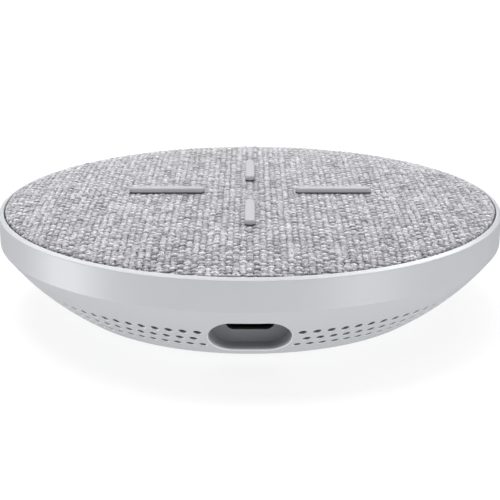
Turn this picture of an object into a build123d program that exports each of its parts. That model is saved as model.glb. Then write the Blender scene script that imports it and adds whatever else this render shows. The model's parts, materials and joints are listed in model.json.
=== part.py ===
"""A round, fan-cooled wireless charging pad with a woven top, made from separate pieces.

Millimetres. +Z is up. The origin is on the surface that the pad stands on, under the centre
of the pad. The charging port faces -Y.
"""

from build123d import *
import os
from math import asin, atan2, cos, degrees, hypot, radians, sin, sqrt

# ---- overall sizes ---------------------------------------------------------------------
pad_radius = 50.0
band_height = 5.6          # upright outer band, from the crease to the lip
bowl_height = 12.7         # from the shell's lowest edge to the crease
bowl_bulge = 0.83          # how far the bowl's section swells past a straight cone
foot_stand = 1.0           # the foot holds the shell this far off the table

# ---- walls and clearances --------------------------------------------------------------
wall = 1.8
edge_round = 0.2
crease_round = 0.35
base_edge_round = 0.4
seat_gap = 0.2             # between moulded pieces that drop into each other
touch_gap = 0.05           # adhesive or paint between pieces that are bonded face to face
fan_running_gap = 0.5
shaft_running_gap = 0.02

# ---- lip, top plate, fabric ------------------------------------------------------------
lip_width = 0.95
lip_rise = 0.6             # the lip slopes up towards the fabric
tuck_gap = 0.25            # dark gap between the fabric's edge and the lip
fabric_thickness = 0.8
fabric_edge_above_lip = 0.1
crown_rise = 1.4           # from the fabric's edge to the flat of the top
flat_radius = 34.0         # the top is flat out to here, and then falls to its edge
fabric_edge_round = 0.5
plate_thickness = 1.6
plate_edge_depth = 2.9     # from the fabric's edge to the ledge that carries the plate
ledge_width = 2.25
ledge_thickness = 1.5

# ---- anti-slip ribs --------------------------------------------------------------------
rib_inner = 9.15
rib_outer = 24.35
rib_width = 2.0
rib_height = 1.15
rib_round = 0.45

# ---- vents -----------------------------------------------------------------------------
vents_per_turn = 108
vent_diameter = 1.2
vent_countersink = 0.27    # depth of each vent's bevelled edge
vent_row_heights = (6.92, 4.97, 3.12)      # above the shell's lowest edge
vent_row_starts = (3.5, 4.0, 3.5)          # pitches from the port's centre to the first vent

# ---- charging port ---------------------------------------------------------------------
recess_width = 14.6
recess_sill = 1.65         # from the shell's lowest edge to the recess
recess_head = 2.7          # from the recess to the crease
recess_setback = 0.8       # from the base plate's edge to the recess's back wall
recess_wall = 1.4
recess_mouth_round = 0.25
socket_width = 8.94
socket_height = 3.26
socket_length = 7.35
socket_wall = 0.3
socket_setback = 0.2
socket_hole_gap = 0.12
tongue_width = 6.7
tongue_thickness = 0.7
tongue_length = 5.6
tongue_base_depth = 1.0
contact_pitch = 0.5
contacts_per_side = 12
contact_size = (0.25, 4.2, 0.05)
contact_end_gap = 0.3
leg_size = (0.3, 1.0, 1.9)
leg_reaches = (3.3, 5.9)   # from the socket's mouth back to its legs

# ---- base plate and foot ---------------------------------------------------------------
base_land = 2.5            # width of the shell's flat edge round the base plate
base_lap = 1.7             # how far the base plate's rim reaches under the shell
base_rim_thickness = 1.0
base_plug_thickness = 1.6
foot_edge = 0.5
foot_groove = 0.5
foot_round = 0.4

# ---- posts and screws ------------------------------------------------------------------
post_count = 4
post_start_angle = 45
post_land = 2.1            # board left between a post and the fan's cut-out
post_edge = 0.3
post_radius = 3.0
spigot_radius = 2.0
spigot_depth = 4.0
screw_radius = 1.25
screw_pilot_gap = 0.02
screw_head_radius = 2.1
screw_head_height = 1.3
screw_clearance = 0.15
small_screw_radius = 0.9
small_head_radius = 1.7
small_head_height = 0.8
head_round_share = 0.3     # of the head's height
tip_bevel_share = 0.5      # of the shank's radius
drive_radius_share = 0.5   # of the head's radius
drive_depth_share = 0.6    # of the head's height

# ---- charging coil ---------------------------------------------------------------------
coil_turns = 10
coil_pitch = 1.2
coil_inner = 10.2          # to the middle of the innermost turn
wire_diameter = 1.0
coil_clearance = 0.25
adhesive_thickness = 0.2
ferrite_thickness = 1.0
ferrite_margin = 1.5
carrier_floor = 1.2
carrier_wall = 1.2
carrier_tab_circle = 28.0
carrier_tab_radius = 2.2
carrier_tab_angles = (0, 180, 270)
lead_spacing = 6.0
lead_bend = 1.6
lead_drop = 0.2            # space between the carrier and the leads under it
lead_hole_gap = 0.3
lead_landing_gap = 10.0    # from the fan's cut-out to where the coil's leads meet the board
centre_hole_radius = 1.3

# ---- circuit board ---------------------------------------------------------------------
board_thickness = 1.2
board_edge_gap = 3.0
board_fan_gap = 0.6
board_port_gap = 0.5
board_margin = 2.5         # from the fan's cut-out to the nearest component
chip_size = (7.0, 7.0, 0.9)
switch_size = (3.3, 3.3, 0.8)
switch_spacing = 6.0
resonant_size = (3.2, 4.5, 2.5)
resonant_spacing = 5.0
inductor_size = (6.6, 6.6, 3.0)
bulk_size = (7.3, 4.3, 2.8)
bulk_spacing = 24.8
connector_size = (5.0, 6.5, 2.8)
connector_gap = 7.5        # from the fan's cut-out to the connector
component_bevel_share = 0.12
sensor_radius = 0.65
sensor_lead_diameter = 0.4
sensor_lead_bend = 1.8
sensor_lead_spacing = 0.8
sensor_lead_rise = 0.1     # the leads' ends stand this far above the ferrite
sensor_landing_gap = 5.0   # from the fan's cut-out to where the sensor's leads meet the board
fan_wire_diameter = 0.8
fan_wire_pitch = 1.2
fan_wire_bend = 1.0

# ---- fan -------------------------------------------------------------------------------
fan_width = 34.0
fan_height = 6.0
fan_floor = 0.8
fan_lid_thickness = 0.6
fan_corner_round = 2.0
fan_inlet_radius = 9.5
fan_outlet_width = 22.0
fan_screw_place = 14.8
impeller_radius = 14.0
fan_scroll_gap = 1.5       # between the blades' tips and the case's wall
hub_radius = 7.2
hub_wall = 0.8
blade_count = 13
blade_thickness = 0.6
blade_angle = 35
shaft_radius = 0.75
bearing_radius = 1.5
bearing_boss_radius = 2.2
magnet_thickness = 0.8
magnet_gap = 0.35
stator_pole_count = 4
stator_pole_width = 1.2
stator_shoe_width = 2.6
stator_shoe_thickness = 0.5
stator_height = 1.4
winding_wall = 0.35

# ---- worked-out places in plan, from the fan outwards -------------------------------------
fan_half = fan_width / 2
board_hole_half = fan_half + board_fan_gap
post_circle = sqrt(2) * board_hole_half + spigot_radius + post_land
base_plug_radius = post_circle + post_radius + post_edge
base_plate_radius = base_plug_radius + base_lap
base_radius = base_plate_radius + base_land
foot_outer = base_plug_radius - foot_edge
foot_inner = post_circle - screw_head_radius - foot_edge
recess_face = base_plate_radius + recess_setback
socket_front = recess_face - socket_setback
lead_landing = board_hole_half + lead_landing_gap
sensor_landing = board_hole_half + sensor_landing_gap
connector_x = board_hole_half + connector_gap + connector_size[0] / 2
coil_outer = coil_inner + coil_turns * coil_pitch
ferrite_radius = coil_outer + ferrite_margin
carrier_inner_radius = ferrite_radius + seat_gap
carrier_radius = carrier_inner_radius + carrier_wall

# ---- worked-out levels, from the table up -------------------------------------------------
base_z = foot_stand
crease_z = base_z + bowl_height
band_top_z = crease_z + band_height
lip_top_z = band_top_z + lip_rise
lip_inner_radius = pad_radius - lip_width
fabric_radius = lip_inner_radius - tuck_gap
fabric_edge_z = lip_top_z + fabric_edge_above_lip
crown_z = fabric_edge_z + crown_rise
plate_radius = fabric_radius - fabric_thickness - touch_gap
plate_top_z = crown_z - fabric_thickness - touch_gap
plate_under_z = plate_top_z - plate_thickness
ledge_z = fabric_edge_z - plate_edge_depth
ledge_inner_radius = lip_inner_radius - ledge_width
shell_inner_radius = pad_radius - wall
shell_floor_z = base_z + wall
base_rebate_radius = base_plate_radius + seat_gap
base_opening_radius = base_plug_radius + seat_gap
base_rim_z = base_z + base_rim_thickness
base_top_z = base_z + base_plug_thickness
recess_height = bowl_height - recess_sill - recess_head
port_z = base_z + recess_sill + recess_height / 2
board_z = port_z + socket_height / 2 + touch_gap
board_top_z = board_z + board_thickness
coil_top_z = plate_under_z - coil_clearance
coil_z = coil_top_z - wire_diameter / 2
coil_under_z = coil_top_z - wire_diameter
ferrite_top_z = coil_under_z - adhesive_thickness
ferrite_z = ferrite_top_z - ferrite_thickness
carrier_z = ferrite_z - carrier_floor
lead_z = carrier_z - lead_drop - wire_diameter / 2
fan_z = base_top_z
fan_lid_z = fan_z + fan_height - fan_lid_thickness
fan_top_z = fan_z + fan_height
fan_inner_z = fan_z + fan_floor
screw_seat_z = base_z + foot_groove + screw_head_height + touch_gap
spigot_end_z = board_z - spigot_depth
screw_end_z = board_top_z + spigot_depth
fan_screw_end_z = base_z + foot_groove
carrier_screw_end_z = plate_under_z
fan_wire_z = board_top_z + connector_size[2] / 2
fan_lead_y = -fan_half / 2
bearing_top_z = fan_lid_z - fan_running_gap - 2 * hub_wall
stator_z = fan_inner_z + 2 * winding_wall
stator_radius = hub_radius - hub_wall - magnet_thickness - magnet_gap

# ---- the bowl's section is one arc ----------------------------------------------------------
bowl_chord = hypot(pad_radius - base_radius, bowl_height)
bowl_arc = (bowl_chord**2 / 4 + bowl_bulge**2) / (2 * bowl_bulge)
chord_slope = atan2(bowl_height, pad_radius - base_radius)
bowl_centre_r = (pad_radius + base_radius) / 2 - (bowl_arc - bowl_bulge) * sin(chord_slope)
bowl_centre_z = base_z + bowl_height / 2 + (bowl_arc - bowl_bulge) * cos(chord_slope)


def bowl_radius(z, depth=0.0):
    """Radius of the bowl's surface at a height, or of the surface parallel to it inside."""
    return bowl_centre_r + sqrt((bowl_arc - depth) ** 2 - (bowl_centre_z - z) ** 2)


def bowl_level(r, depth=0.0):
    """Height of the bowl's surface at a radius, or of the surface parallel to it inside."""
    return bowl_centre_z - sqrt((bowl_arc - depth) ** 2 - (r - bowl_centre_r) ** 2)


def bowl_arc_between(z_low, z_high, depth=0.0):
    """The part of the bowl's section, or of its parallel inside, between two heights."""
    z_middle = (z_low + z_high) / 2
    points = [(bowl_radius(z, depth), z) for z in (z_low, z_middle, z_high)]
    return ThreePointArc(*points)


# ---- small shape helpers ------------------------------------------------------------------
def turned(*edges):
    """Turn a closed section, given as edges in radius and height, about the pad's axis."""
    return revolve(Plane.XZ * make_face(edges), Axis.Z)


def disc(radius, z_low, z_high, x=0.0, y=0.0):
    """An upright cylinder between two heights."""
    return Pos(x, y, (z_low + z_high) / 2) * Cylinder(radius, z_high - z_low)


def ring(outer, inner, z_low, z_high, x=0.0, y=0.0):
    """An upright tube between two heights."""
    return disc(outer, z_low, z_high, x, y) - disc(inner, z_low, z_high, x, y)


def block(width, depth, z_low, z_high, x=0.0, y=0.0):
    """An upright box between two heights, centred on a point."""
    return Pos(x, y, (z_low + z_high) / 2) * Box(width, depth, z_high - z_low)


def at_angles(radius, angles):
    """Points on a circle at some angles in degrees."""
    return [(radius * cos(radians(a)), radius * sin(radians(a))) for a in angles]


def around(count, radius, start=0.0):
    """Points spread evenly on a circle."""
    return at_angles(radius, [start + 360 * i / count for i in range(count)])


def facing_port(width, height, y_outer, y_inner):
    """A stadium-shaped bar along Y through the port's centre, between two distances from the axis."""
    section = Plane.XZ * Pos(0, port_z) * SlotOverall(width, height)
    return extrude(Pos(0, -y_inner, 0) * section, y_outer - y_inner)


def wire(points, bend, diameter):
    """A round wire along straight runs joined by tangent arcs."""
    path = FilletPolyline(*points, radius=bend)
    return sweep(Plane(path @ 0, z_dir=path % 0) * Circle(diameter / 2), path=path)


def screw(radius, head_radius, head_height, length):
    """A pan-head screw pointing up, with its head below Z 0 and a hexagonal drive socket."""
    head = disc(head_radius, -head_height, 0)
    head = fillet(head.edges().sort_by(Axis.Z)[0], head_height * head_round_share)
    shank = disc(radius, 0, length)
    shank = chamfer(shank.edges().sort_by(Axis.Z)[-1], radius * tip_bevel_share)
    hexagon = Pos(0, 0, -head_height) * RegularPolygon(head_radius * drive_radius_share, 6)
    drive = extrude(hexagon, head_height * drive_depth_share)
    return head + shank - drive


post_places = around(post_count, post_circle, post_start_angle)
tab_places = at_angles(carrier_tab_circle, carrier_tab_angles)
fan_screw_places = [(fan_screw_place, -fan_screw_place), (-fan_screw_place, fan_screw_place)]
fan_wire_places = [fan_lead_y + i * fan_wire_pitch for i in (-1, 0, 1)]
leg_places = [
    (side * (socket_width - leg_size[0]) / 2, -socket_front + reach)
    for side in (-1, 1)
    for reach in leg_reaches
]


# ---- outer shell ------------------------------------------------------------------------------
def top_section(inset):
    """The section of the top, from its centre to its edge, set in from the fabric's outer face."""
    run = fabric_radius - flat_radius
    shoulder = (run**2 + crown_rise**2) / (2 * crown_rise) - inset
    middle = asin((fabric_radius - inset - flat_radius) / shoulder) / 2
    end = 2 * middle
    top = crown_z - inset
    points = [(flat_radius + shoulder * sin(a), top - shoulder * (1 - cos(a))) for a in (middle, end)]
    return [Line((0, top), (flat_radius, top)), ThreePointArc((flat_radius, top), *points)], points[-1]


def housing_blank():
    """The shell before its vents and port are cut: bowl, band, lip and the ledge for the top plate."""
    inner_level = bowl_level(shell_inner_radius, wall)
    ledge_under_z = ledge_z - ledge_thickness
    overhang = shell_inner_radius - ledge_inner_radius
    outline = Polyline(
        (pad_radius, crease_z),
        (pad_radius, band_top_z),
        (lip_inner_radius, lip_top_z),
        (lip_inner_radius, ledge_z),
        (ledge_inner_radius, ledge_z),
        (ledge_inner_radius, ledge_under_z),
        (shell_inner_radius, ledge_under_z - overhang),
        (shell_inner_radius, inner_level),
    )
    floor = Polyline(
        (bowl_radius(shell_floor_z, wall), shell_floor_z),
        (base_opening_radius, shell_floor_z),
        (base_opening_radius, base_rim_z),
        (base_rebate_radius, base_rim_z),
        (base_rebate_radius, base_z),
        (base_radius, base_z),
    )
    inside = bowl_arc_between(shell_floor_z, inner_level, wall)
    outside = bowl_arc_between(base_z, crease_z)
    section = make_face([*outline.edges(), *inside.edges(), *floor.edges(), *outside.edges()])
    corners = {
        (pad_radius, crease_z): crease_round,
        (pad_radius, band_top_z): edge_round,
        (lip_inner_radius, lip_top_z): edge_round,
        (base_radius, base_z): base_edge_round,
    }
    for (r, z), rounding in corners.items():
        corner = section.vertices().sort_by_distance((r, z, 0))[0]
        section = fillet(corner, rounding)
    return revolve(Plane.XZ * section, Axis.Z)


def recess_block():
    """The pocket's walls round the port, from the middle of the shell's wall inwards."""
    width = recess_width + 2 * recess_wall
    height = recess_height + 2 * recess_wall
    bar = facing_port(width, height, pad_radius, recess_face - recess_wall)
    depth = wall / 2
    foot = (bowl_radius(base_rim_z, depth), base_rim_z)
    crease = (bowl_radius(crease_z, depth), crease_z)
    within = turned(
        bowl_arc_between(base_rim_z, crease_z, depth),
        Line(crease, (crease[0], band_top_z)),
        Line((crease[0], band_top_z), (0, band_top_z)),
        Line((0, band_top_z), (0, base_rim_z)),
        Line((0, base_rim_z), foot),
    )
    return bar & within


def vent_drill():
    """A countersinking drill that points down from Z 0, its seam turned to the side."""
    radius = vent_diameter / 2
    tip = -1.5 * wall
    outline = [
        (0, tip),
        (radius, tip),
        (radius, -vent_countersink),
        (radius + 2 * vent_countersink, vent_countersink),
        (0, vent_countersink),
    ]
    return Rot(0, 0, 90) * turned(*Polyline(*outline, close=True).edges())


def vent_cutters():
    """One drill for each vent, square to the bowl's surface."""
    pitch = 360 / vents_per_turn
    tool = vent_drill()
    drills = []
    for height, start in zip(vent_row_heights, vent_row_starts):
        z = base_z + height
        r = bowl_radius(z)
        lean = degrees(atan2(r - bowl_centre_r, bowl_centre_z - z))
        drill = Pos(r, 0, z) * Rot(0, 180 - lean, 0) * tool
        vents = int(vents_per_turn - 2 * start) + 1
        for i in range(vents):
            drills.append(Rot(0, 0, -90 + (start + i) * pitch) * drill)
    return drills


def in_recess(edge):
    """Whether an edge lies within the recess's own width and height."""
    box = edge.bounding_box()
    wide = max(-box.min.X, box.max.X) < recess_width / 2 + touch_gap
    tall = max(port_z - box.min.Z, box.max.Z - port_z) < recess_height / 2 + touch_gap
    return wide and tall


def make_housing():
    """The one-piece outer shell, with its vents and its port recess."""
    shell = housing_blank() + recess_block()
    shell -= facing_port(recess_width, recess_height, pad_radius + wall, recess_face)
    mouth = shell.edges().filter_by(GeomType.BSPLINE).filter_by(in_recess)
    shell = fillet(mouth, recess_mouth_round)
    shell -= facing_port(
        socket_width + 2 * socket_hole_gap,
        socket_height + 2 * socket_hole_gap,
        recess_face + wall,
        recess_face - 2 * recess_wall,
    )
    return shell - vent_cutters()


def make_base_plate():
    """The bottom cover: a rim that fills the shell's rebate, a plug, and a pillar for each post."""
    plate = disc(base_plate_radius, base_z, base_rim_z)
    plate += disc(base_plug_radius, base_z, base_top_z)
    plate -= ring(foot_outer + touch_gap, foot_inner - touch_gap, base_z - wall, base_z + foot_groove)
    for x, y in post_places:
        plate += disc(post_radius, base_z + foot_groove, board_z, x, y)
        plate -= disc(spigot_radius + touch_gap, spigot_end_z, board_z + wall, x, y)
        plate -= disc(screw_radius + screw_clearance, base_z, board_z, x, y)
        plate -= disc(screw_head_radius + screw_clearance, base_z, screw_seat_z, x, y)
    for x, y in fan_screw_places:
        pilot = small_screw_radius + screw_pilot_gap
        plate -= disc(pilot, fan_screw_end_z - touch_gap, base_top_z, x, y)
    return plate


def make_foot_ring():
    """The silicone ring that the pad stands on, set in the base plate's groove."""
    foot = ring(foot_outer, foot_inner, 0, base_z + foot_groove)
    return fillet(foot.edges().group_by(Axis.Z)[0], foot_round)


def make_top_plate():
    """The cover over the coil, with the posts that hold the pad together and the carrier's bosses."""
    top, edge = top_section(fabric_thickness + touch_gap)
    under, rim = top_section(fabric_thickness + touch_gap + plate_thickness)
    lower = (plate_radius - plate_thickness, ledge_z)
    plate = turned(
        *top,
        Line(edge, (plate_radius, ledge_z)),
        Line((plate_radius, ledge_z), lower),
        Line(lower, rim),
        *under,
        Line((0, plate_under_z), (0, plate_top_z)),
    )
    for x, y in post_places:
        plate += disc(post_radius, board_top_z, plate_under_z + touch_gap, x, y)
        plate += disc(spigot_radius, spigot_end_z, board_top_z, x, y)
        plate -= disc(screw_radius + screw_pilot_gap, spigot_end_z, screw_end_z + touch_gap, x, y)
    for x, y in tab_places:
        plate += disc(carrier_tab_radius, ferrite_z, plate_under_z + touch_gap, x, y)
        pilot = small_screw_radius + screw_pilot_gap
        plate -= disc(pilot, ferrite_z, carrier_screw_end_z + touch_gap, x, y)
    return plate


def make_fabric_cover():
    """The woven cover, bonded over the top plate and wrapped down its edge."""
    outer, edge = top_section(0)
    inner, inner_edge = top_section(fabric_thickness)
    hem_z = ledge_z + seat_gap
    cover = turned(
        *outer,
        Line(edge, (fabric_radius, hem_z)),
        Line((fabric_radius, hem_z), (fabric_radius - fabric_thickness, hem_z)),
        Line((fabric_radius - fabric_thickness, hem_z), inner_edge),
        *inner,
        Line((0, crown_z - fabric_thickness), (0, crown_z)),
    )
    corner = (fabric_radius, 0, fabric_edge_z)
    shoulder = cover.edges().filter_by(GeomType.CIRCLE).sort_by_distance(corner)[0]
    return fillet(shoulder, fabric_edge_round)


def make_rib(angle):
    """One silicone rib, bonded to the fabric and lying along a radius."""
    length = rib_outer - rib_inner
    place = Pos((rib_outer + rib_inner) / 2, 0, crown_z)
    bar = extrude(place * SlotOverall(length, rib_width), rib_height)
    bar = fillet(bar.edges().group_by(Axis.Z)[-1], rib_round)
    return Rot(0, 0, angle) * bar


# ---- charging coil --------------------------------------------------------------------------------
def make_coil():
    """Ten turns of wire, as half circles about two centres half a pitch apart."""
    arcs = []
    for half in range(2 * coil_turns):
        radius = coil_inner + half * coil_pitch / 2
        side = -1 if half % 2 else 1
        centre = coil_pitch / 2 if half % 2 else 0
        points = [(0, centre + side * radius), (-side * radius, centre), (0, centre - side * radius)]
        arcs.append(ThreePointArc(*[(x, y, coil_z) for x, y in points]))
    path = Wire(arcs)
    return sweep(Plane(path @ 0, z_dir=path % 0) * Circle(wire_diameter / 2), path=path)


def make_coil_lead_inner():
    """From the coil's inner end, down through the carrier, out under it, and down to the board."""
    x = lead_spacing / 2
    route = [
        (0, coil_inner, coil_z),
        (x, coil_inner, coil_z),
        (x, coil_inner, lead_z),
        (x, lead_landing, lead_z),
        (x, lead_landing, board_top_z),
    ]
    return wire(route, lead_bend, wire_diameter)


def make_coil_lead_outer():
    """From the coil's outer end, out over the carrier's wall, and down to the board."""
    x = -lead_spacing / 2
    route = [
        (0, coil_outer, coil_z),
        (x, coil_outer, coil_z),
        (x, lead_landing, coil_z),
        (x, lead_landing, board_top_z),
    ]
    return wire(route, lead_bend, wire_diameter)


def with_lead_holes(plate, z_low, z_high):
    """Cut the holes for the coil's inner lead and for the sensor, and notches for the posts."""
    plate -= disc(lead_bend + lead_hole_gap, z_low, z_high, lead_spacing / 2, coil_inner)
    plate -= disc(centre_hole_radius, z_low, z_high)
    for x, y in post_places:
        plate -= disc(post_radius + seat_gap, z_low, z_high, x, y)
    return plate


def make_coil_adhesive():
    """The thin disc that bonds the coil to the ferrite."""
    return with_lead_holes(disc(coil_outer, ferrite_top_z, coil_under_z), ferrite_top_z, coil_under_z)


def make_ferrite_sheet():
    """The shield under the coil."""
    return with_lead_holes(disc(ferrite_radius, ferrite_z, ferrite_top_z), ferrite_z, ferrite_top_z)


def make_coil_carrier():
    """The tray that holds the ferrite and coil under the top plate."""
    tray = disc(carrier_radius, carrier_z, ferrite_top_z)
    for x, y in tab_places:
        tray += disc(carrier_tab_radius, carrier_z, ferrite_z, x, y)
        tray += Rot(0, 0, degrees(atan2(y, x))) * block(
            carrier_tab_circle, 2 * carrier_tab_radius, carrier_z, ferrite_z, carrier_tab_circle / 2
        )
    tray -= disc(carrier_inner_radius, ferrite_z, ferrite_top_z)
    for x, y in tab_places:
        tray -= disc(small_screw_radius + screw_clearance, carrier_z, ferrite_z, x, y)
    return with_lead_holes(tray, carrier_z, ferrite_top_z)


def make_coil_sensor():
    """The temperature sensor's bead in the middle of the coil."""
    return Pos(0, 0, ferrite_top_z + sensor_radius) * Sphere(sensor_radius)


def make_coil_sensor_leads():
    """Two thin leads from the bead, down through the carrier and forward to the board."""
    leads = []
    for x in (-sensor_lead_spacing / 2, sensor_lead_spacing / 2):
        route = [
            (x, 0, ferrite_top_z + sensor_lead_rise),
            (x, 0, lead_z),
            (x, -sensor_landing, lead_z),
            (x, -sensor_landing, board_top_z),
        ]
        leads.append(wire(route, sensor_lead_bend, sensor_lead_diameter))
    bead = make_coil_sensor()
    return Compound([lead - bead for lead in leads])


# ---- circuit board ---------------------------------------------------------------------------------
def make_main_board():
    """A ring of circuit board round the fan, notched for the port's recess and the fan's leads."""
    radius = bowl_radius(board_z, wall) - board_edge_gap
    board = disc(radius, board_z, board_top_z)
    board -= block(2 * board_hole_half, 2 * board_hole_half, board_z, board_top_z)
    notch_depth = recess_face - recess_wall - board_port_gap
    notch_width = recess_width + 2 * recess_wall + 2 * board_port_gap
    board -= block(notch_width, 2 * radius, board_z, board_top_z, 0, -notch_depth - radius)
    lead_notch = 2 * fan_wire_bend + fan_wire_diameter
    board -= block(2 * lead_notch, connector_size[1], board_z, board_top_z, board_hole_half, fan_lead_y)
    for x, y in post_places:
        board -= disc(spigot_radius + touch_gap, board_z, board_top_z, x, y)
    for x, y in leg_places:
        slot = [size + 2 * screw_clearance for size in leg_size[:2]]
        board -= block(*slot, board_z, board_top_z, x, y)
    return board


def on_board(size, places):
    """Bevelled components of one size standing on the board, as one group."""
    width, depth, height = size
    body = block(width, depth, board_top_z, board_top_z + height)
    body = chamfer(body.edges().group_by(Axis.Z)[-1], height * component_bevel_share)
    return Compound([Pos(x, y, 0) * body for x, y in places])


def make_fan_connector():
    """The socket that the fan's leads plug into."""
    width, depth, height = connector_size
    shell = block(width, depth, board_top_z, board_top_z + height, connector_x, fan_lead_y)
    face = connector_x - width / 2
    for y in fan_wire_places:
        bore = Cylinder(fan_wire_diameter / 2 + touch_gap, width)
        shell -= Pos(face, y, fan_wire_z) * Rot(0, 90, 0) * bore
    return shell


def make_fan_leads():
    """Three leads from the fan's side, up past the board's edge and into the connector."""
    leads = []
    for y in fan_wire_places:
        rise_x = board_hole_half + fan_wire_bend + fan_wire_diameter / 2
        route = [
            (fan_half, y, fan_z + fan_height / 2),
            (rise_x, y, fan_z + fan_height / 2),
            (rise_x, y, fan_wire_z),
            (connector_x, y, fan_wire_z),
        ]
        leads.append(wire(route, fan_wire_bend, fan_wire_diameter))
    return Compound(leads)


# ---- charging port -----------------------------------------------------------------------------------
def make_port_shell():
    """The socket's metal shell, open at the front, with four legs up into the board."""
    outer = facing_port(socket_width, socket_height, socket_front, socket_front - socket_length)
    bore = facing_port(
        socket_width - 2 * socket_wall,
        socket_height - 2 * socket_wall,
        socket_front,
        socket_front - socket_length + socket_wall,
    )
    shell = outer - bore
    for x, y in leg_places:
        width, depth, height = leg_size
        shell += block(width, depth, board_z - height / 2, board_z + height / 2, x, y)
        shell -= bore
    return shell


def make_port_tongue():
    """The plastic tongue that carries the contacts, on a block that closes the shell's back."""
    back = socket_front - socket_length + socket_wall
    inset = 2 * (socket_wall + touch_gap)
    base = facing_port(socket_width - inset, socket_height - inset, back + tongue_base_depth, back)
    tongue = block(
        tongue_width,
        tongue_length,
        port_z - tongue_thickness / 2,
        port_z + tongue_thickness / 2,
        0,
        -back - tongue_length / 2,
    )
    return base + tongue


def make_port_contacts():
    """Two rows of flat contacts on the tongue."""
    width, length, thickness = contact_size
    tip = socket_front - socket_length + socket_wall + tongue_length
    y = -(tip - contact_end_gap - length / 2)
    strips = []
    for side in (-1, 1):
        z = port_z + side * (tongue_thickness + thickness) / 2
        for i in range(contacts_per_side):
            x = (i - (contacts_per_side - 1) / 2) * contact_pitch
            strips.append(block(width, length, z - thickness / 2, z + thickness / 2, x, y))
    return Compound(strips)


# ---- fan ---------------------------------------------------------------------------------------------
def fan_outline(z_low, z_high):
    """The fan's square outline with rounded corners and holes for its screws."""
    body = block(fan_width, fan_width, z_low, z_high)
    body = fillet(body.edges().filter_by(Axis.Z), fan_corner_round)
    for x, y in fan_screw_places:
        body -= disc(small_screw_radius + screw_clearance, z_low, z_high, x, y)
    return body


def make_fan_case():
    """The fan's case: floor, wall round the impeller, outlet at the back and the bearing's boss."""
    case = fan_outline(fan_z, fan_lid_z)
    case -= disc(impeller_radius + fan_scroll_gap, fan_inner_z, fan_lid_z)
    outlet_y = (fan_half + impeller_radius) / 2
    case -= block(fan_outlet_width, fan_half, fan_inner_z, fan_lid_z, 0, outlet_y)
    case += disc(bearing_boss_radius, fan_z, bearing_top_z)
    return case - disc(bearing_radius, fan_inner_z, bearing_top_z)


def make_fan_lid():
    """The fan's lid, with its round inlet."""
    return fan_outline(fan_lid_z, fan_top_z) - disc(fan_inlet_radius, fan_lid_z, fan_top_z)


def make_impeller():
    """The hub cup, the disc under the blades and the leaning blades."""
    top = fan_lid_z - fan_running_gap
    bottom = fan_inner_z + fan_running_gap
    wheel = disc(impeller_radius, bottom, bottom + blade_thickness)
    wheel += disc(hub_radius, bottom, top)
    blade_length = impeller_radius - hub_radius
    blade = block(blade_length, blade_thickness, bottom, top, blade_length / 2)
    blade = Pos(hub_radius, 0, 0) * Rot(0, 0, -blade_angle) * blade
    for i in range(blade_count):
        wheel += Rot(0, 0, 360 * i / blade_count) * blade
    wheel -= disc(hub_radius - hub_wall, bottom, top - hub_wall)
    return wheel - disc(shaft_radius, bottom, top)


def make_rotor_magnet():
    """The ring magnet inside the hub."""
    inner = hub_radius - hub_wall - magnet_thickness
    return ring(hub_radius - hub_wall, inner, fan_inner_z + fan_running_gap, stator_z + stator_height)


def make_fan_shaft():
    """The shaft, fixed in the hub and running in the bearing."""
    return disc(shaft_radius, fan_inner_z + touch_gap, fan_lid_z - fan_running_gap)


def make_fan_bearing():
    """The sleeve bearing, pressed into the case's boss."""
    return ring(bearing_radius, shaft_radius + shaft_running_gap, fan_inner_z, bearing_top_z)


def stator_poles(width, z_low, z_high, radius):
    """The stator's cross of poles, cut to a radius."""
    arm = block(2 * radius, width, z_low, z_high)
    cross = arm
    for i in range(1, stator_pole_count // 2):
        cross += Rot(0, 0, 180 * i / (stator_pole_count // 2)) * arm
    return cross & disc(radius, z_low, z_high)


def make_stator_core():
    """The steel core: a ring on the boss, four poles and their curved shoes."""
    top = stator_z + stator_height
    core = ring(bearing_boss_radius + 2 * winding_wall, bearing_boss_radius, stator_z, top)
    core += stator_poles(stator_pole_width, stator_z, top, stator_radius)
    shoes = stator_poles(stator_shoe_width, stator_z, top, stator_radius)
    core += shoes - disc(stator_radius - stator_shoe_thickness, stator_z, top)
    return core - disc(bearing_boss_radius, stator_z, top)


def make_stator_windings():
    """One winding round each pole."""
    half_width = stator_pole_width / 2 + winding_wall
    inner = bearing_boss_radius + 2 * winding_wall + touch_gap
    outer = sqrt((stator_radius - stator_shoe_thickness) ** 2 - half_width**2) - touch_gap
    length = outer - inner
    top = stator_z + stator_height
    coil = block(length, 2 * half_width, stator_z - winding_wall, top + winding_wall)
    coil -= block(length, stator_pole_width, stator_z, top)
    places = around(stator_pole_count, (inner + outer) / 2)
    return Compound([Pos(x, y, 0) * Rot(0, 0, degrees(atan2(y, x))) * coil for x, y in places])


def turned_over(shape):
    """The same shape pointing down."""
    return Rot(180, 0, 0) * shape


def board_components():
    """The components that stand on the board, as nodes."""
    switch_y = board_hole_half + board_margin + switch_size[1] / 2
    switch_places = [((i - 1.5) * switch_spacing, switch_y) for i in range(4)]
    resonant_x = [lead_spacing / 2 + (i + 1) * resonant_spacing for i in range(2)]
    resonant_places = [(side * x, lead_landing) for side in (-1, 1) for x in resonant_x]
    side_x = board_hole_half + board_margin
    bulk_y = -(side_x + bulk_size[1])
    return {
        "controller_chip": on_board(chip_size, [(-side_x - chip_size[0] / 2, 0)]),
        "power_switches": on_board(switch_size, switch_places),
        "resonant_capacitors": on_board(resonant_size, resonant_places),
        "supply_inductor": on_board(inductor_size, [(side_x + inductor_size[0] / 2, inductor_size[1])]),
        "bulk_capacitors": on_board(bulk_size, [(side * bulk_spacing / 2, bulk_y) for side in (-1, 1)]),
        "fan_connector": make_fan_connector(),
        "fan_leads": make_fan_leads(),
    }


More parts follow.
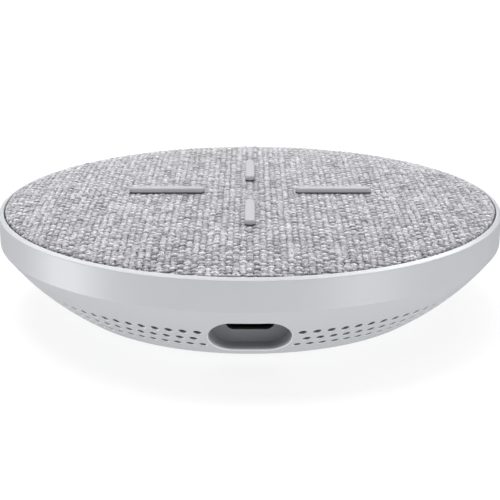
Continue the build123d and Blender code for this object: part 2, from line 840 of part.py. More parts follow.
def all_screws():
    """The three groups of screws, as nodes. The fan's point down, and the others point up."""
    base_screw = screw(screw_radius, screw_head_radius, screw_head_height, screw_end_z - screw_seat_z)
    small = (small_screw_radius, small_head_radius, small_head_height)
    carrier_screw = screw(*small, carrier_screw_end_z - carrier_z)
    fan_screw = turned_over(screw(*small, fan_top_z - fan_screw_end_z))
    return {
        "base_screws": Compound([Pos(x, y, screw_seat_z) * base_screw for x, y in post_places]),
        "carrier_screws": Compound([Pos(x, y, carrier_z) * carrier_screw for x, y in tab_places]),
        "fan_screws": Compound([Pos(x, y, fan_top_z) * fan_screw for x, y in fan_screw_places]),
    }


def main():
    nodes = {
        "housing": make_housing(),
        "base_plate": make_base_plate(),
        "foot_ring": make_foot_ring(),
        "top_plate": make_top_plate(),
        "fabric_cover": make_fabric_cover(),
        "grip_rib_right": make_rib(0),
        "grip_rib_back": make_rib(90),
        "grip_rib_left": make_rib(180),
        "grip_rib_front": make_rib(270),
        "coil": make_coil(),
        "coil_lead_inner": make_coil_lead_inner(),
        "coil_lead_outer": make_coil_lead_outer(),
        "coil_adhesive": make_coil_adhesive(),
        "ferrite_sheet": make_ferrite_sheet(),
        "coil_carrier": make_coil_carrier(),
        "coil_sensor": make_coil_sensor(),
        "coil_sensor_leads": make_coil_sensor_leads(),
        "main_board": make_main_board(),
        **board_components(),
        "port_shell": make_port_shell(),
        "port_tongue": make_port_tongue(),
        "port_contacts": make_port_contacts(),
        "fan_case": make_fan_case(),
        "fan_lid": make_fan_lid(),
        "impeller": make_impeller(),
        "rotor_magnet": make_rotor_magnet(),
        "fan_shaft": make_fan_shaft(),
        "fan_bearing": make_fan_bearing(),
        "stator_core": make_stator_core(),
        "stator_windings": make_stator_windings(),
        **all_screws(),
    }
    os.makedirs("parts", exist_ok=True)
    for name, shape in nodes.items():
        export_step(shape, f"parts/{name}.step")
        print(f"{name}: {shape.volume:.1f} mm3")


main()
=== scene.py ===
"""A round wireless charging pad: a woven top with four grip ribs, in a pale plastic shell.

Metres, +Z up, the port faces -Y. The shell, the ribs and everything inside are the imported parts.
The cloth is woven here yarn by yarn, and wrapped over the top plate.
"""

import json
import math
import random

import bmesh
import bpy
import numpy as np
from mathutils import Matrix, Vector


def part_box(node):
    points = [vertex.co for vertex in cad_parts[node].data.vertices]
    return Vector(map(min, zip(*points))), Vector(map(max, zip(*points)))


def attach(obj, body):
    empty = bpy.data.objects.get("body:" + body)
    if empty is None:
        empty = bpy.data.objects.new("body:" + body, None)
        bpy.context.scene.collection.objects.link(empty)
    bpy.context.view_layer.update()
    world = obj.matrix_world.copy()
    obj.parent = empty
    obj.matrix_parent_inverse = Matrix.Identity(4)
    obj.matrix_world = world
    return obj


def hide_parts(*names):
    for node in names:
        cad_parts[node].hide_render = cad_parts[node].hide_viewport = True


MM = 0.001

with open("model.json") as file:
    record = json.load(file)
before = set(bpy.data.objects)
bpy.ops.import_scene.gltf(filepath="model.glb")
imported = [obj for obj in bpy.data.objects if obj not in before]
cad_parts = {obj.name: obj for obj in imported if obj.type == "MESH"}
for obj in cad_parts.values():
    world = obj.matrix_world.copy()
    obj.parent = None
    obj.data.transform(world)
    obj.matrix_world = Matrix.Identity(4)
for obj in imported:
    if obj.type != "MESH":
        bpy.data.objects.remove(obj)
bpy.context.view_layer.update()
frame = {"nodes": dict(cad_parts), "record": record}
nodes = frame["nodes"]
cover_low, cover_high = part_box("fabric_cover")

# ---- the cloth's surface ---------------------------------------------------------------------
COVER_RADIUS = cover_high.x
CROWN = cover_high.z
HEM = cover_low.z
FLAT_RADIUS = 34.0 * MM
CROWN_RISE = 1.4 * MM
EDGE_ROUND = 0.5 * MM

# ---- the bowl's section, an arc in the plane of the axis -------------------------------------
BOWL_CENTRE_RADIUS = 8.065 * MM
BOWL_CENTRE_HEIGHT = 44.773 * MM
BOWL_ARC = 52.193 * MM
BAND_STARTS = 13.2 * MM         # height above which the shell is left one tone, free of painted shade and highlight
BASE_ENDS = 1.1 * MM            # and below which it is too
PAINTED_HIGHLIGHT_DEPTH = 0.1 * MM          # depth of the painted highlight on the outermost part of each bevel, where the painted shade begins
PORT_HALF_WIDTH = 7.8 * MM
PORT_SHADE_DEPTH = 1.2 * MM     # painted shade: the recess is painted dark over this depth, a vent at once
SOFT_END = 0.1 * MM             # over which the painted shade and painted highlight stop above the base's edge

# ---- the ribs and the tints ------------------------------------------------------------------
PAINTED_SHADOW_LINE = 0.34 * MM           # height of the painted shadow line under a rib's edge
COOL = (0.965, 0.99, 1.035)
VIOLET = (0.995, 0.98, 1.03)

# ---- the weave -------------------------------------------------------------------------------
WARP_PITCH = 1.18 * MM          # from one front-to-back yarn to the next
WEFT_PITCH = 0.97 * MM          # from one crosswise yarn to the next
YARN_COVER = 0.41               # half a yarn's width, as a share of its pitch
YARN_HEIGHT = 0.22 * MM         # half its thickness
YARN_WAVE = 0.18 * MM           # how far it rises and dips
YARN_DEPTH = 0.38 * MM          # from the cover's outer face to the middle of the weave
YARN_ANGLES = (0, 45, 90, 135, 180, 270)    # round its section, rounder above than below
GROUND_DEPTH = 0.66 * MM        # from the cover's outer face to the ground cloth
GROUND_CELLS = 120              # across the ground cloth
PITCHES = {"X": (WEFT_PITCH, WARP_PITCH), "Y": (WARP_PITCH, WEFT_PITCH)}    # own, crossing
STEPS_PER_PITCH = 4             # points along a yarn from one crossing to the next
FEWEST_POINTS = 4               # along a short yarn, and in the noise that shapes it
SLUB_WIDTH = 0.22               # how far a yarn's thickness strays
KNOT_SWELL = 0.08               # how much thicker a yarn is where it lies on top
LIFT_STRAY = 0.2                # how much its rise and dip change from knot to knot
WANDER = 0.15 * MM              # how far a yarn strays sideways
HEM_GAP = 0.25                  # the last yarn's distance from the cloth's edge, in pitches
PAINTED_KNOT_SHADE = 0.34               # painted shade: how much paler a knot is than the dips beside it, which are painted darker as if shaded by the crossing yarns
STREAK_SHADE = 0.2              # how far a streak's tone strays

# each yarn's middle tone, its stray from thread to thread, its stray from knot to knot, and how
# many knots a streak is long
PALE_YARN = (0.56, 0.08, 0.42, 5)
MELANGE_YARN = (0.45, 0.16, 0.45, 6)


# ---- shader maths ----------------------------------------------------------------------------
class Value:
    """A socket's output, with the operators that the materials use."""

    def __init__(self, shader, socket):
        self.shader = shader
        self.socket = socket

    def _math(self, operation, *values):
        """A maths node over sockets or plain numbers."""
        sockets = dict(enumerate(values))
        return self.shader.node("ShaderNodeMath", {"operation": operation}, sockets)

    def __add__(self, other):
        return self._math("ADD", self, other)

    def __radd__(self, other):
        return self._math("ADD", other, self)

    def __sub__(self, other):
        return self._math("SUBTRACT", self, other)

    def __rsub__(self, other):
        return self._math("SUBTRACT", other, self)

    def __mul__(self, other):
        return self._math("MULTIPLY", self, other)

    def __rmul__(self, other):
        return self._math("MULTIPLY", other, self)

    def root(self):
        """The square root."""
        return self._math("SQRT", self)


class Shader:
    """A material with a Principled shader, and the one method that adds any other node."""

    def __init__(self, name, **settings):
        self.material = bpy.data.materials.new(name)
        self.material.use_nodes = True
        self.tree = self.material.node_tree
        self.tree.nodes.clear()
        self.output = self.tree.nodes.new("ShaderNodeOutputMaterial")
        self.surface = self.tree.nodes.new("ShaderNodeBsdfPrincipled")
        self.tree.links.new(self.surface.outputs[0], self.output.inputs[0])
        for socket, value in settings.items():
            self.set(socket.replace("_", " "), value)

    def set(self, socket, value):
        """Set one of the Principled shader's sockets to a number, a colour or a value."""
        if isinstance(value, Value):
            self.tree.links.new(value.socket, self.surface.inputs[socket])
        else:
            self.surface.inputs[socket].default_value = value

    def node(self, kind, settings=None, sockets=None, output=0):
        """Add a node: its settings first, then the numbers or links of its sockets."""
        made = self.tree.nodes.new(kind)
        for name, value in (settings or {}).items():
            if name == "stops":
                self.fill_ramp(made.color_ramp, value)
            else:
                setattr(made, name, value)
        for key, value in (sockets or {}).items():
            if isinstance(value, Value):
                self.tree.links.new(value.socket, made.inputs[key])
            else:
                made.inputs[key].default_value = value
        return Value(self, made.outputs[output])

    @staticmethod
    def fill_ramp(ramp, stops):
        """Give a colour ramp its stops, as (place, colour) pairs."""
        while len(ramp.elements) < len(stops):
            ramp.elements.new(0.5)
        for element, (place, colour) in zip(ramp.elements, stops):
            element.position = place
            element.color = colour

    def place(self, stretch=(1.0, 1.0, 1.0)):
        """Object coordinates, stretched along the axes."""
        coordinates = self.node("ShaderNodeTexCoord", output="Object")
        return self.node("ShaderNodeMapping", None, {"Vector": coordinates, "Scale": stretch})

    def noise(self, scale, detail=2.0, stretch=(1.0, 1.0, 1.0), roughness=0.5):
        """Noise from 0 to 1. The scale is in features a metre."""
        sockets = {"Vector": self.place(stretch), "Scale": scale}
        sockets |= {"Detail": detail, "Roughness": roughness}
        return self.node("ShaderNodeTexNoise", None, sockets)

    def grain(self, scale):
        """Small cells from 0 to 1, as a spark-eroded mould leaves."""
        return self.node("ShaderNodeTexVoronoi", None, {"Vector": self.place(), "Scale": scale})

    def axis(self, name):
        """One of the Object coordinates."""
        return self.node("ShaderNodeSeparateXYZ", None, {0: self.place()}, output=name)

    def attribute(self, name):
        """A number stored on the piece's points."""
        return self.node("ShaderNodeAttribute", {"attribute_name": name}, output="Fac")

    def ramp(self, value, *stops):
        """Colours along a value."""
        return self.node("ShaderNodeValToRGB", {"stops": stops}, {"Fac": value})

    def between(self, value, start, end):
        """0 at the start and before it, 1 at the end and after it."""
        sockets = {"Value": value, "From Min": start, "From Max": end}
        return self.node("ShaderNodeMapRange", None, sockets)

    def mix(self, factor, first, second, blend="MIX"):
        """Blend two colours."""
        settings = {"data_type": "RGBA", "blend_type": blend}
        sockets = {"Factor": factor, 6: first, 7: second}
        return self.node("ShaderNodeMix", settings, sockets, output=2)

    def bump(self, height, distance, strength=1.0):
        """Raise the surface by a height from 0 to 1 times a distance in metres."""
        sockets = {"Height": height, "Distance": distance, "Strength": strength}
        self.set("Normal", self.node("ShaderNodeBump", None, sockets))


def grey(level, tint=(1.0, 1.0, 1.0)):
    """A colour of one lightness with a slight tint."""
    return (level * tint[0], level * tint[1], level * tint[2], 1.0)


def rgb(red, green, blue):
    """An opaque colour."""
    return (red, green, blue, 1.0)


# ---- materials of the visible parts ----------------------------------------------------------
def depth_below_bowl(shader):
    """How far a point lies inside the bowl's outer face, and 0 off the bowl."""
    plan = shader.place((1.0, 1.0, 0.0))
    length = {"operation": "LENGTH"}
    radius = shader.node("ShaderNodeVectorMath", length, {0: plan}, output="Value")
    height = shader.axis("Z")
    run = radius - BOWL_CENTRE_RADIUS
    fall = BOWL_CENTRE_HEIGHT - height
    depth = BOWL_ARC - (run * run + fall * fall).root()
    on_bowl = shader.between(height, BAND_STARTS, BAND_STARTS - MM)
    return depth * on_bowl * shader.between(height, BASE_ENDS, BASE_ENDS + SOFT_END)


def shell_plastic():
    """Pale satin plastic with a very fine grain: a painted highlight on the bevels round the
    vents, painted shade inside them and in the port's recess.
    """
    shader = Shader("shell_plastic", IOR=1.47)
    cloud = shader.noise(60, 3)
    outside = shader.mix(cloud, grey(0.585, COOL), grey(0.615, COOL))
    x, y = shader.axis("X"), shader.axis("Y")
    at_port = shader.between(x * x, PORT_HALF_WIDTH**2, 0.9 * PORT_HALF_WIDTH**2)
    at_port = at_port * shader.between(y, 0.0, -MM)
    depth = depth_below_bowl(shader)
    # painted highlight: the outermost part of each bevel round a vent is painted pale, as if lit
    painted_highlight = shader.between(depth, 0.4 * PAINTED_HIGHLIGHT_DEPTH, 0.8 * PAINTED_HIGHLIGHT_DEPTH)
    # painted shade: deeper in, the vents and the port's recess are painted dark where shade falls,
    # the recess over a greater depth
    painted_shade = shader.between(depth, PAINTED_HIGHLIGHT_DEPTH, 1.5 * PAINTED_HIGHLIGHT_DEPTH + at_port * PORT_SHADE_DEPTH)
    with_painted_highlight = shader.mix(painted_highlight, outside, grey(0.86, COOL))
    # painted shade colours: darker in the port's recess than in the vents
    dark = shader.mix(at_port, grey(0.15, COOL), grey(0.36, COOL))
    shader.set("Base Color", shader.mix(painted_shade, with_painted_highlight, dark))
    shader.set("Roughness", 0.36 + 0.08 * shader.noise(900, 3))
    shader.bump(shader.noise(9000, 2), 0.004 * MM)
    return shader.material


def base_plastic():
    """Matte plastic of the bottom cover, with a coarser grain than the shell's."""
    shader = Shader("base_plastic", IOR=1.46)
    cloud = shader.noise(80, 3)
    shader.set("Base Color", shader.mix(cloud, grey(0.56, COOL), grey(0.61, COOL)))
    shader.set("Roughness", 0.52 + 0.12 * shader.noise(1200, 2))
    shader.bump(shader.grain(2600), 0.02 * MM, 0.6)
    return shader.material


def silicone(name, level, roughness):
    """Soft matte silicone, a little dusty, with a painted shadow line under a rib's edge."""
    shader = Shader(name, IOR=1.41)
    shader.set("Subsurface Weight", 0.06)
    shader.set("Subsurface Radius", (0.6 * MM, 0.6 * MM, 0.6 * MM))
    dust = shader.noise(2500, 4, roughness=0.7)
    clean = shader.mix(dust, grey(level, VIOLET), grey(level * 1.12, VIOLET))
    height = shader.axis("Z")
    # painted shadow: a near-black line at the foot of each rib, just above the cloth
    painted_shadow = shader.between(height, CROWN + PAINTED_SHADOW_LINE, CROWN + 0.7 * PAINTED_SHADOW_LINE)
    painted_shadow = painted_shadow * shader.between(height, CROWN - MM, CROWN)
    shader.set("Base Color", shader.mix(painted_shadow, clean, grey(0.07, VIOLET)))
    shader.set("Roughness", roughness + 0.14 * dust)
    shader.bump(shader.noise(6000, 3), 0.006 * MM)
    return shader.material


def yarn(name, dark, light, along):
    """Spun yarn: fibres run along it, and its tone drifts from thread to thread; the dips between
    knots carry painted shade.
    """
    shader = Shader(name, IOR=1.45)
    shader.set("Sheen Weight", 0.25)
    shader.set("Sheen Roughness", 0.5)
    stretch = (0.12, 1.0, 1.0) if along == "X" else (1.0, 0.12, 1.0)
    fibre = shader.noise(14000, 3, stretch, 0.65)
    # the stored value holds painted shade in the dips as well as the yarn's own tone
    tone = shader.attribute("tone")
    colour = shader.mix(tone, dark, light)
    fleck = shader.noise(1900, 3, roughness=0.7)
    speck = shader.ramp(fleck, (0.38, grey(0.42)), (0.58, grey(1.0)))
    shader.set("Base Color", shader.mix(1.0, colour, speck, "MULTIPLY"))
    shader.set("Roughness", 0.78 + 0.15 * fibre)
    shader.bump(fibre, 0.05 * MM, 0.8)
    return shader.material


def ground_cloth():
    """The bonding layer under the yarns, painted near black as the shade in the gaps between them.
    """
    shader = Shader("ground_cloth")
    fibre = shader.noise(5000, 3)
    # painted shade: the near-black colour stands for the shade seen between the yarns
    shader.set("Base Color", shader.mix(fibre, grey(0.05, VIOLET), grey(0.09, VIOLET)))
    shader.set("Roughness", 0.9 + 0.05 * fibre)
    shader.bump(fibre, 0.04 * MM)
    return shader.material


# ---- materials of the parts inside -----------------------------------------------------------
def moulded(name, low, high, roughness, grain_scale=2200, depth=0.012):
    """Plain moulded plastic or pressed powder: mottled colour, grain in the surface."""
    shader = Shader(name, IOR=1.48)
    mottle = shader.noise(700, 4)
    shader.set("Base Color", shader.mix(mottle, low, high))
    shader.set("Roughness", roughness + 0.12 * mottle)
    shader.bump(shader.noise(grain_scale, 3), depth * MM)
    return shader.material


def metal(name, low, high, roughness, stretch=(1.0, 1.0, 12.0)):
    """Machined or drawn metal with fine lines one way."""
    shader = Shader(name, Metallic=1.0)
    lines = shader.noise(3000, 3, stretch)
    shader.set("Base Color", shader.mix(lines, low, high))
    shader.set("Roughness", roughness + 0.15 * lines)
    shader.bump(lines, 0.003 * MM)
    return shader.material


def circuit_board():
    """Green solder mask with fine traces showing under it."""
    shader = Shader("circuit_board", IOR=1.5, Coat_Weight=0.3, Coat_Roughness=0.2)
    traces = shader.ramp(shader.grain(420), (0.42, grey(0.0)), (0.46, grey(1.0)))
    mask = shader.mix(traces, rgb(0.010, 0.115, 0.050), rgb(0.020, 0.190, 0.085))
    shader.set("Base Color", mask)
    shader.set("Roughness", 0.32 + 0.1 * shader.noise(800, 2))
    shader.bump(traces, 0.02 * MM)
    return shader.material


def inner_materials():
    """One material for each slot that is only seen when the pad is apart."""
    black, soot = rgb(0.012, 0.012, 0.013), rgb(0.035, 0.035, 0.038)
    plastics = {
        "inner_plastic": (grey(0.045), grey(0.07), 0.5),
        "lead_sleeve": (rgb(0.62, 0.55, 0.38), rgb(0.72, 0.66, 0.48), 0.35),
        "adhesive_film": (rgb(0.70, 0.66, 0.52), rgb(0.80, 0.77, 0.64), 0.45),
        "ferrite": (grey(0.025), grey(0.045), 0.6, 5000, 0.02),
        "chip_package": (black, soot, 0.45, 6000, 0.008),
        "ceramic_capacitor": (rgb(0.28, 0.17, 0.09), rgb(0.38, 0.25, 0.14), 0.4),
        "inductor_core": (grey(0.05), grey(0.09), 0.55, 4000, 0.02),
        "sensor_glass": (black, soot, 0.12),
        "wire_insulation": (rgb(0.35, 0.02, 0.015), rgb(0.45, 0.03, 0.02), 0.38),
        "connector_plastic": (rgb(0.72, 0.68, 0.58), rgb(0.80, 0.77, 0.68), 0.42),
        "port_plastic": (black, soot, 0.4),
        "fan_plastic": (grey(0.018), grey(0.035), 0.48),
        "ring_magnet": (grey(0.06), grey(0.10), 0.45, 5000, 0.02),
    }
    metals = {
        "copper_wire": (rgb(0.55, 0.22, 0.10), rgb(0.75, 0.34, 0.17), 0.28),
        "port_steel": (grey(0.012), grey(0.02), 0.42, (1.0, 10.0, 1.0)),
        "gold_contact": (rgb(0.83, 0.55, 0.20), rgb(0.95, 0.68, 0.30), 0.18),
        "turned_steel": (grey(0.50), grey(0.62), 0.24),
        "bearing_bronze": (rgb(0.50, 0.30, 0.12), rgb(0.62, 0.40, 0.18), 0.35),
        "core_steel": (grey(0.25), grey(0.36), 0.42, (1.0, 1.0, 30.0)),
    }
    made = {slot: moulded(slot, *look) for slot, look in plastics.items()}
    made |= {slot: metal(slot, *look) for slot, look in metals.items()}
    made["circuit_board"] = circuit_board()
    return made


def paint_nodes():
    """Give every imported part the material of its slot."""
    materials = inner_materials()
    materials["shell_plastic"] = shell_plastic()
    materials["base_plastic"] = base_plastic()
    materials["rib_silicone"] = silicone("rib_silicone", 0.46, 0.5)
    materials["foot_silicone"] = silicone("foot_silicone", 0.16, 0.62)
    materials["woven_fabric"] = ground_cloth()
    for part in frame["record"]["subparts"]:
        mesh = nodes[part["node"]].data
        mesh.materials.clear()
        mesh.materials.append(materials[part["material_slot"]])
    return materials


# ---- cloth -----------------------------------------------------------------------------------
def shoulder_shape():
    """The radius of the top's shoulder, and the angle at which it meets the rounded edge."""
    run = COVER_RADIUS - FLAT_RADIUS
    radius = (run**2 + CROWN_RISE**2) / (2 * CROWN_RISE)
    angle = math.asin((run - EDGE_ROUND) / (radius - EDGE_ROUND))
    return radius, angle


SHOULDER, SHOULDER_ANGLE = shoulder_shape()
SHOULDER_END = FLAT_RADIUS + SHOULDER * SHOULDER_ANGLE
EDGE_END = SHOULDER_END + EDGE_ROUND * (math.pi / 2 - SHOULDER_ANGLE)
EDGE_CENTRE_Z = CROWN - SHOULDER + (SHOULDER - EDGE_ROUND) * math.cos(SHOULDER_ANGLE)
CLOTH_RADIUS = EDGE_END + EDGE_CENTRE_Z - HEM


def wrap(points):
    """Lay flat cloth over the top and down its edge.

    A point's Z is its height off the cover's face, and its distance from the middle is kept as
    a length along the flat, the shoulder, the rounded edge and the hem.
    """
    flat = np.hypot(points[:, 0], points[:, 1])
    height = points[:, 2]
    on_shoulder = np.clip(flat - FLAT_RADIUS, 0, SHOULDER_END - FLAT_RADIUS) / SHOULDER
    on_edge = np.clip(flat - SHOULDER_END, 0, EDGE_END - SHOULDER_END) / EDGE_ROUND
    below = np.clip(flat - EDGE_END, 0, None)
    lean = on_shoulder + on_edge
    radius = np.minimum(flat, FLAT_RADIUS) + SHOULDER * np.sin(on_shoulder)
    radius += EDGE_ROUND * (np.sin(lean) - np.sin(on_shoulder)) + height * np.sin(lean)
    level = CROWN - SHOULDER * (1 - np.cos(on_shoulder))
    level -= EDGE_ROUND * (np.cos(on_shoulder) - np.cos(lean))
    level += height * np.cos(lean) - below
    share = radius / np.maximum(flat, 1e-9)
    return np.column_stack([points[:, 0] * share, points[:, 1] * share, level])


def read_points(mesh):
    """A mesh's points as rows of three numbers."""
    points = np.empty(len(mesh.vertices) * 3)
    mesh.vertices.foreach_get("co", points)
    return points.reshape(-1, 3)


def write_points(mesh, points):
    """Put a mesh's points back."""
    mesh.vertices.foreach_set("co", points.ravel())
    mesh.update()


def yarn_section(pitch):
    """The flattened section of a yarn, as a closed outline."""
    outline = bpy.data.curves.new("yarn_section", "CURVE")
    spline = outline.splines.new("POLY")
    spline.points.add(len(YARN_ANGLES) - 1)
    for point, angle in zip(spline.points, YARN_ANGLES):
        turn = math.radians(angle)
        point.co = (YARN_COVER * pitch * math.cos(turn), YARN_HEIGHT * math.sin(turn), 0, 1)
    spline.use_cyclic_u = True
    section = bpy.data.objects.new("yarn_section", outline)
    bpy.context.scene.collection.objects.link(section)
    return section


def slow_noise(source, count, knots):
    """A smooth random run of numbers from -1 to 1."""
    values = [source.uniform(-1, 1) for _ in range(knots)]
    return np.interp(np.linspace(0, knots - 1, count), np.arange(knots), values)


def yarn_tone(source, count, knots, kind):
    """A yarn's tone along its length: its own level, long streaks, and a change at each knot."""
    middle, thread_stray, knot_stray, streak_knots = kind
    streak = slow_noise(source, count, max(FEWEST_POINTS, knots // streak_knots))
    level = middle + source.uniform(-thread_stray, thread_stray)
    return level + STREAK_SHADE * streak + knot_stray * slow_noise(source, count, knots)


def add_yarn(curve, source, row, along, kind):
    """Lay one yarn flat in its row, over and under its neighbours, and return its tones with the
    painted shade of its dips.
    """
    pitch, crossing = PITCHES[along]
    across = row * pitch
    reach = math.sqrt(CLOTH_RADIUS**2 - across**2)
    count = max(FEWEST_POINTS, round(2 * reach / crossing * STEPS_PER_PITCH) + 1)
    step = np.linspace(-reach, reach, count)
    sign = -1 if along == "Y" else 1
    wave = sign * np.cos(math.pi * step / crossing + math.pi * row)
    knots = max(FEWEST_POINTS, int(count / STEPS_PER_PITCH))
    thick = 1 + SLUB_WIDTH * slow_noise(source, count, knots) + KNOT_SWELL * wave
    drift = WANDER * slow_noise(source, count, knots)
    stray = 1 + LIFT_STRAY * slow_noise(source, count, knots)
    lift = YARN_WAVE * wave * stray - YARN_DEPTH
    # painted shade: the yarn is painted darker where it dips under a crossing yarn and paler on
    # its knots
    tone = yarn_tone(source, count, knots, kind) + PAINTED_KNOT_SHADE * wave
    spline = curve.splines.new("POLY")
    spline.points.add(count - 1)
    ahead = (step, across + drift) if along == "X" else (across + drift, step)
    rows_of_four = np.column_stack([*ahead, lift, np.ones(count)])
    spline.points.foreach_set("co", rows_of_four.ravel())
    spline.points.foreach_set("radius", thick)
    return step, tone


def curve_mesh(curve):
    """The mesh of a curve's swept section. The curve is removed."""
    holder = bpy.data.objects.new(curve.name + "_curve", curve)
    bpy.context.scene.collection.objects.link(holder)
    bpy.context.view_layer.update()
    evaluated = holder.evaluated_get(bpy.context.evaluated_depsgraph_get())
    mesh = bpy.data.meshes.new_from_object(evaluated)
    bpy.data.objects.remove(holder)
    bpy.data.curves.remove(curve)
    return mesh


def store_tones_and_shade(mesh, tones_and_shade, along):
    """Give each point of the flat yarns the tone of its own yarn there, with the painted shade of
    its dips.
    """
    points = read_points(mesh)
    lengthwise, crosswise = (0, 1) if along == "X" else (1, 0)
    nearest = np.round(points[:, crosswise] / PITCHES[along][0]).astype(int)
    tone = np.zeros(len(points))
    for row, (step, values) in tones_and_shade.items():
        mine = nearest == row
        tone[mine] = np.interp(points[mine, lengthwise], step, values)
    stored = mesh.attributes.new("tone", "FLOAT", "POINT")
    stored.data.foreach_set("value", np.clip(tone, 0, 1))


def finish_piece(name, mesh, material):
    """Wrap a flat mesh over the pad and make it a piece of the cover."""
    write_points(mesh, wrap(read_points(mesh)))
    mesh.materials.clear()
    mesh.materials.append(material)
    mesh.shade_smooth()
    piece = bpy.data.objects.new(name, mesh)
    bpy.context.scene.collection.objects.link(piece)
    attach(piece, "pad")
    return piece


def weave(name, along, rows, material, seed, kind):
    """Yarns side by side along one axis, as one piece."""
    source = random.Random(seed)
    section = yarn_section(PITCHES[along][0])
    curve = bpy.data.curves.new(name, "CURVE")
    curve.dimensions = "3D"
    curve.twist_mode = "Z_UP"
    curve.bevel_mode = "OBJECT"
    curve.bevel_object = section
    curve.use_fill_caps = True
    tones_and_shade = {row: add_yarn(curve, source, row, along, kind) for row in rows}
    mesh = curve_mesh(curve)
    bpy.data.objects.remove(section)
    store_tones_and_shade(mesh, tones_and_shade, along)
    return finish_piece(name, mesh, material)


def make_ground(material):
    """The continuous cloth under the yarns, cut as a disc and wrapped with them."""
    form = bmesh.new()
    bmesh.ops.create_grid(
        form, x_segments=GROUND_CELLS, y_segments=GROUND_CELLS, size=CLOTH_RADIUS
    )
    for vertex in form.verts:
        x, y = (c / CLOTH_RADIUS for c in vertex.co.xy)
        vertex.co.x = CLOTH_RADIUS * x * math.sqrt(1 - y * y / 2)
        vertex.co.y = CLOTH_RADIUS * y * math.sqrt(1 - x * x / 2)
        vertex.co.z = -GROUND_DEPTH
    mesh = bpy.data.meshes.new("cloth_ground")
    form.to_mesh(mesh)
    form.free()
    return finish_piece("cloth_ground", mesh, material)


def make_cloth(materials):
    """The woven cover: ground cloth, pale yarns across and melange yarns front to back."""
    last_weft = int(CLOTH_RADIUS / WEFT_PITCH - HEM_GAP)
    last_warp = int(CLOTH_RADIUS / WARP_PITCH - HEM_GAP)
    weft = yarn("weft_yarn", grey(0.22, VIOLET), grey(0.93, VIOLET), "X")
    warp = yarn("warp_yarn", grey(0.09, VIOLET), grey(0.76, VIOLET), "Y")
    ground = make_ground(materials["woven_fabric"])
    yarns = [
        weave("weft_front", "X", range(-last_weft, 0), weft, 11, PALE_YARN),
        weave("weft_back", "X", range(0, last_weft + 1), weft, 12, PALE_YARN),
        weave("warp_left", "Y", range(-last_warp, 0), warp, 13, MELANGE_YARN),
        weave("warp_right", "Y", range(0, last_warp + 1), warp, 14, MELANGE_YARN),
    ]
    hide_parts("fabric_cover")
    side = 2 * CLOTH_RADIUS
    math.pi * CLOTH_RADIUS**2


# ---- studio ----------------------------------------------------------------------------------
FLOOR_WIDTH = 6.0
FLOOR_FRONT = -4.0
FLOOR_BACK = 0.8
SWEEP_RADIUS = 0.6
SWEEP_ANGLE = 80                # degrees
SWEEP_STEPS = 16
FLOOR_GLOW = 0.80               # the paper's own light
SURROUND = 0.32                 # strength of the light from all round
AIM = (0, 0, 0.01)              # what every soft light faces

# each soft light's place, its size and its power
LIGHTS = {
    "top_light": ((-0.12, 0.34, 0.86), (0.6, 0.5), 7.3),
    "left_light": ((-0.70, -0.40, 0.25), (0.5, 0.5), 1.6),
    "right_light": ((0.62, -0.48, 0.25), (0.4, 0.4), 1.6),
}
# lights that are only seen as a sheen on smooth plastic
SHEENS = {
    "left_sheen": ((-0.76, -0.08, -0.25), (0.40, 0.40), 3.3),
    "right_sheen": ((0.57, -0.49, -0.26), (0.35, 0.35), 1.9),
    "left_lip_sheen": ((-0.46, 0.52, 0.70), (0.5, 0.5), 4.5),
    "right_lip_sheen": ((0.42, 0.45, 0.78), (0.75, 0.6), 14.0),
}

CAMERA_LENS = 91.94             # millimetres, as is the sensor
CAMERA_SENSOR = 36.0
CAMERA_PLACE = (0.0, -0.250, 0.08674)
CAMERA_DROP = 17.227            # degrees below level


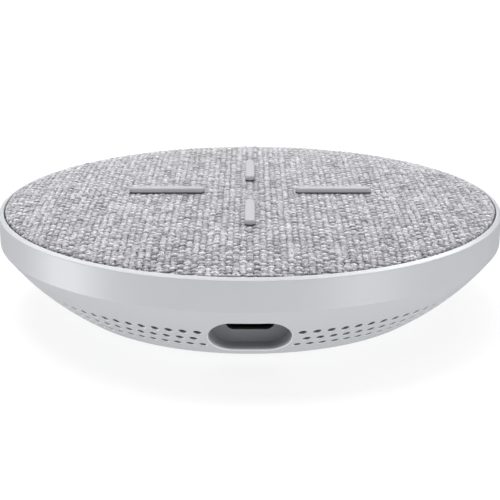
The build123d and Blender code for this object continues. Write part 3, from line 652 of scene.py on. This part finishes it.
def make_floor():
    """A wide pale floor that curves up behind the pad."""
    form = bmesh.new()
    front = form.verts.new((-FLOOR_WIDTH / 2, FLOOR_FRONT, 0))
    back = form.verts.new((-FLOOR_WIDTH / 2, FLOOR_BACK, 0))
    form.edges.new((front, back))
    bmesh.ops.spin(
        form, geom=[back], cent=(0, FLOOR_BACK, SWEEP_RADIUS), axis=(1, 0, 0),
        angle=math.radians(SWEEP_ANGLE), steps=SWEEP_STEPS, use_duplicate=False,
    )
    made = bmesh.ops.extrude_edge_only(form, edges=form.edges[:])["geom"]
    far_edge = [part for part in made if isinstance(part, bmesh.types.BMVert)]
    bmesh.ops.translate(form, verts=far_edge, vec=(FLOOR_WIDTH, 0, 0))
    bmesh.ops.recalc_face_normals(form, faces=form.faces[:])
    mesh = bpy.data.meshes.new("floor")
    form.to_mesh(mesh)
    form.free()
    mesh.shade_smooth()
    shader = Shader("floor_paper", Emission_Strength=FLOOR_GLOW)
    shader.set("Base Color", shader.mix(shader.noise(3, 2), grey(0.20), grey(0.22)))
    shader.set("Emission Color", grey(1.0))
    shader.set("Roughness", 0.9)
    mesh.materials.append(shader.material)
    floor = bpy.data.objects.new("floor", mesh)
    floor.visible_glossy = False
    floor.visible_shadow = False
    bpy.context.scene.collection.objects.link(floor)


def softbox(name, place, size, power):
    """A rectangular soft light aimed at the pad."""
    light = bpy.data.lights.new(name, "AREA")
    light.shape = "RECTANGLE"
    light.size, light.size_y = size
    light.energy = power
    lamp = bpy.data.objects.new(name, light)
    lamp.location = place
    aim = Vector(AIM) - Vector(place)
    lamp.rotation_euler = aim.to_track_quat("-Z", "Y").to_euler()
    bpy.context.scene.collection.objects.link(lamp)
    return lamp


def make_studio():
    """Soft light from above and both sides, and a pale surround."""
    world = bpy.data.worlds.new("studio")
    bpy.context.scene.world = world
    world.use_nodes = True
    background = world.node_tree.nodes["Background"]
    background.inputs["Color"].default_value = grey(1.0)
    background.inputs["Strength"].default_value = SURROUND
    for name, settings in LIGHTS.items():
        softbox(name, *settings)
    for name, settings in SHEENS.items():
        softbox(name, *settings).visible_diffuse = False
    bpy.context.scene.view_settings.view_transform = "Standard"


def make_camera():
    """In front of the pad and a little above it."""
    camera = bpy.data.cameras.new("camera")
    camera.lens = CAMERA_LENS
    camera.sensor_width = CAMERA_SENSOR
    camera.clip_start = 0.01
    holder = bpy.data.objects.new("camera", camera)
    holder.location = CAMERA_PLACE
    holder.rotation_euler = (math.radians(90 - CAMERA_DROP), 0, 0)
    bpy.context.scene.collection.objects.link(holder)
    bpy.context.scene.camera = holder


# ---- the scene -------------------------------------------------------------------------------
slot_materials = paint_nodes()
make_cloth(slot_materials)
make_floor()
make_studio()
make_camera()
